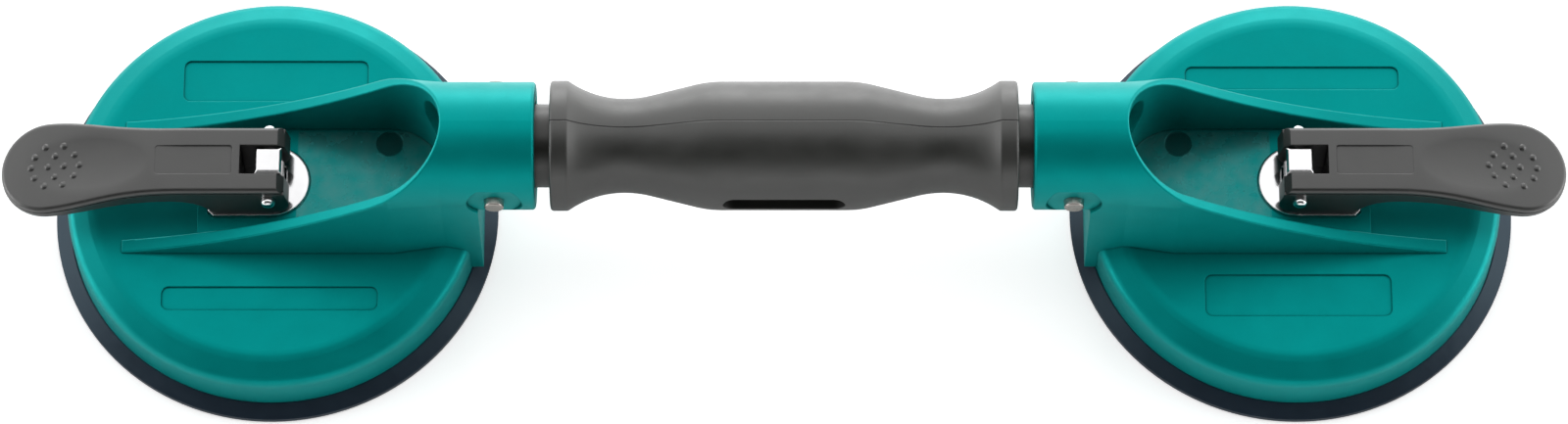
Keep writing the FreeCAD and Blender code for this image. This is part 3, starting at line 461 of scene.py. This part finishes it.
def cut_away(obj, cutter):
    """The object's mesh without the cutter, as a new bmesh."""
    groove = obj.modifiers.new("line", "BOOLEAN")
    groove.operation = "DIFFERENCE"
    groove.solver = "EXACT"
    groove.object = cutter
    done = obj.evaluated_get(bpy.context.evaluated_depsgraph_get())
    bm = bmesh.new()
    bm.from_mesh(done.to_mesh())
    obj.modifiers.clear()
    bpy.data.objects.remove(cutter)
    return bm


def shade_smooth(bm):
    """Smooth faces, with the sharp edges kept."""
    for face in bm.faces:
        face.smooth = True
    for edge in bm.edges:
        if len(edge.link_faces) == 2 and edge.calc_face_angle() > SHARP_FROM:
            edge.smooth = False


def make_lever(side):
    """The lever with the parting line under its top shell, and the bumps of its thumb pad."""
    place = lever_frame(side)
    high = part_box(f"{side}_cam_lever")[1].z - PIN[side].z
    bm = bmesh.new()
    bm.from_mesh(NODES[f"{side}_cam_lever"].data)
    bmesh.ops.remove_doubles(bm, verts=bm.verts, dist=SAME_POINT)
    tree = BVHTree.FromBMesh(bm)
    dots = dot_places(tree, place)
    line = lever_cutter(lever_path(tree, place, high))
    line.transform(place)
    lever = new_object(f"{side}_lever_shell", bm, LEVER)
    bm = cut_away(lever, new_object(f"{side}_line_cutter", line, LEVER))
    for spot, out in dots:
        add_dot(bm, spot, out)
    bmesh.ops.recalc_face_normals(bm, faces=bm.faces)
    shade_smooth(bm)
    bm.to_mesh(lever.data)
    bm.free()
    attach(lever, f"{side}_lever")
    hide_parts(f"{side}_cam_lever")


for side in SIDES:
    make_lever(side)


# ---------------------------------------------------------------- floor, light, camera

FLOOR_HALF, FLOOR_UNDER, FLOOR_COLOR = 3.0, 0.0002, (0.9, 0.9, 0.9, 1)

# Each glow of the floor: from where it starts to where it is full, and its strength.
BEHIND, ASIDE, IN_FRONT = (0.045, 0.075, 1.3), (0.20, 0.24, 0.6), (0.02, 0.07, 1.3)
SEEN = 0.55

# The tent's levels by direction, from the camera's side (-1) over the top (0) to the back (1),
# and from the middle (0) to both ends (1), all times TENT_STRENGTH.
TENT_ALONG = (
    (-1.0, 0.180), (-0.91, 0.100), (-0.78, 0.010), (-0.60, 0.0), (-0.37, 0.0),
    (-0.14, 0.010), (0.10, 0.170), (0.36, 0.140), (0.57, 0.205), (0.82, 0.150), (1.0, 0.64))
TENT_ACROSS = ((0.0, 0.0), (0.5, 0.010), (0.8, 0.015), (0.93, 0.20), (1.0, 0.80))
TENT_STRENGTH = 7.6

# The camera's angle over the floor, its distance from the origin, and its lens, as for a 36 mm sensor.
ELEVATION = math.radians(67.567)
DISTANCE = 1.8
SENSOR, LENS, SHIFT_UP = 36, 151.82, 0.00236
CLIP_NEAR, CLIP_FAR = 0.05, 20


def make_floor():
    """White paper: it keeps the shadows, shows its full white in the camera and in reflections of its
    far and side parts, and lights the object's near sides from in front."""
    mesh = bpy.data.meshes.new("floor")
    floor = bpy.data.objects.new("floor", mesh)
    bpy.context.scene.collection.objects.link(floor)
    corners = [(x * FLOOR_HALF, y * FLOOR_HALF, 0) for x, y in ((-1, -1), (1, -1), (1, 1), (-1, 1))]
    mesh.from_pydata(corners, [], [(0, 1, 2, 3)])
    floor.location.z = -FLOOR_UNDER
    material = bpy.data.materials.new("floor_white")
    mesh.materials.append(material)
    n = Nodes(material)
    place = n.axes(n.add("ShaderNodeNewGeometry").outputs["Position"])

    def glow_from(distance, start, full, strength):
        return n.mapped(distance, start, full, 0.0, strength)

    behind = glow_from(place["Y"], *BEHIND)
    aside = glow_from(n.size(place["X"]), *ASIDE)
    in_front = glow_from(n.times(place["Y"], -1.0), *IN_FRONT)
    ray = n.add("ShaderNodeLightPath").outputs
    mirrored = n.times(ray["Is Glossy Ray"], n.larger(behind, aside))
    thrown = n.times(ray["Is Diffuse Ray"], in_front)
    seen = n.times(n.larger(ray["Is Camera Ray"], ray["Is Transmission Ray"]), SEEN)
    glow = n.add("ShaderNodeEmission")
    n.fill(glow, Strength=n.larger(seen, n.larger(mirrored, thrown)))
    paper = n.add("ShaderNodeBsdfDiffuse")
    n.fill(paper, Color=FLOOR_COLOR)
    total = n.add("ShaderNodeAddShader")
    n.feed(total.inputs[0], paper.outputs[0])
    n.feed(total.inputs[1], glow.outputs[0])
    n.fill(n.add("ShaderNodeOutputMaterial"), Surface=total.outputs[0])


def make_world():
    """A white tent: bright behind and at the sides, dark overhead on the camera's side."""
    world = bpy.data.worlds.new("studio")
    bpy.context.scene.world = world
    n = Nodes(world)
    way = n.axes(n.add("ShaderNodeTexCoord").outputs["Generated"])

    def levels(value, low, stops):
        """A ramp of greys over a direction that runs from low to 1."""
        greys = [((at - low) / (1.0 - low), (level, level, level)) for at, level in stops]
        return n.ramp(n.mapped(value, low, 1.0, 0.0, 1.0), greys)

    total = n.add("ShaderNodeVectorMath", operation="ADD")
    n.feed(total.inputs[0], levels(way["Y"], -1.0, TENT_ALONG))
    n.feed(total.inputs[1], levels(n.size(way["X"]), 0.0, TENT_ACROSS))
    light = n.add("ShaderNodeBackground")
    n.fill(light, Color=total.outputs["Vector"], Strength=TENT_STRENGTH)
    plain = n.add("ShaderNodeBackground")
    n.fill(plain, Color=(*WHITE, 1.0))
    mix = n.add("ShaderNodeMixShader")
    n.fill(mix, Fac=n.add("ShaderNodeLightPath").outputs["Is Camera Ray"])
    n.feed(mix.inputs[1], light.outputs[0])
    n.feed(mix.inputs[2], plain.outputs[0])
    n.fill(n.add("ShaderNodeOutputWorld"), Surface=mix.outputs[0])


def make_camera():
    camera = bpy.data.objects.new("camera", bpy.data.cameras.new("camera"))
    bpy.context.scene.collection.objects.link(camera)
    away = Vector((0, -math.cos(ELEVATION), math.sin(ELEVATION)))
    camera.location = away * DISTANCE
    camera.rotation_mode = "QUATERNION"
    camera.rotation_quaternion = (-away).to_track_quat("-Z", "Y")
    camera.data.sensor_width = SENSOR
    camera.data.lens = LENS
    camera.data.shift_y = SHIFT_UP
    camera.data.clip_start = CLIP_NEAR
    camera.data.clip_end = CLIP_FAR
    bpy.context.scene.camera = camera


make_floor()
make_world()
make_camera()
bpy.context.scene.view_settings.view_transform = "Standard"
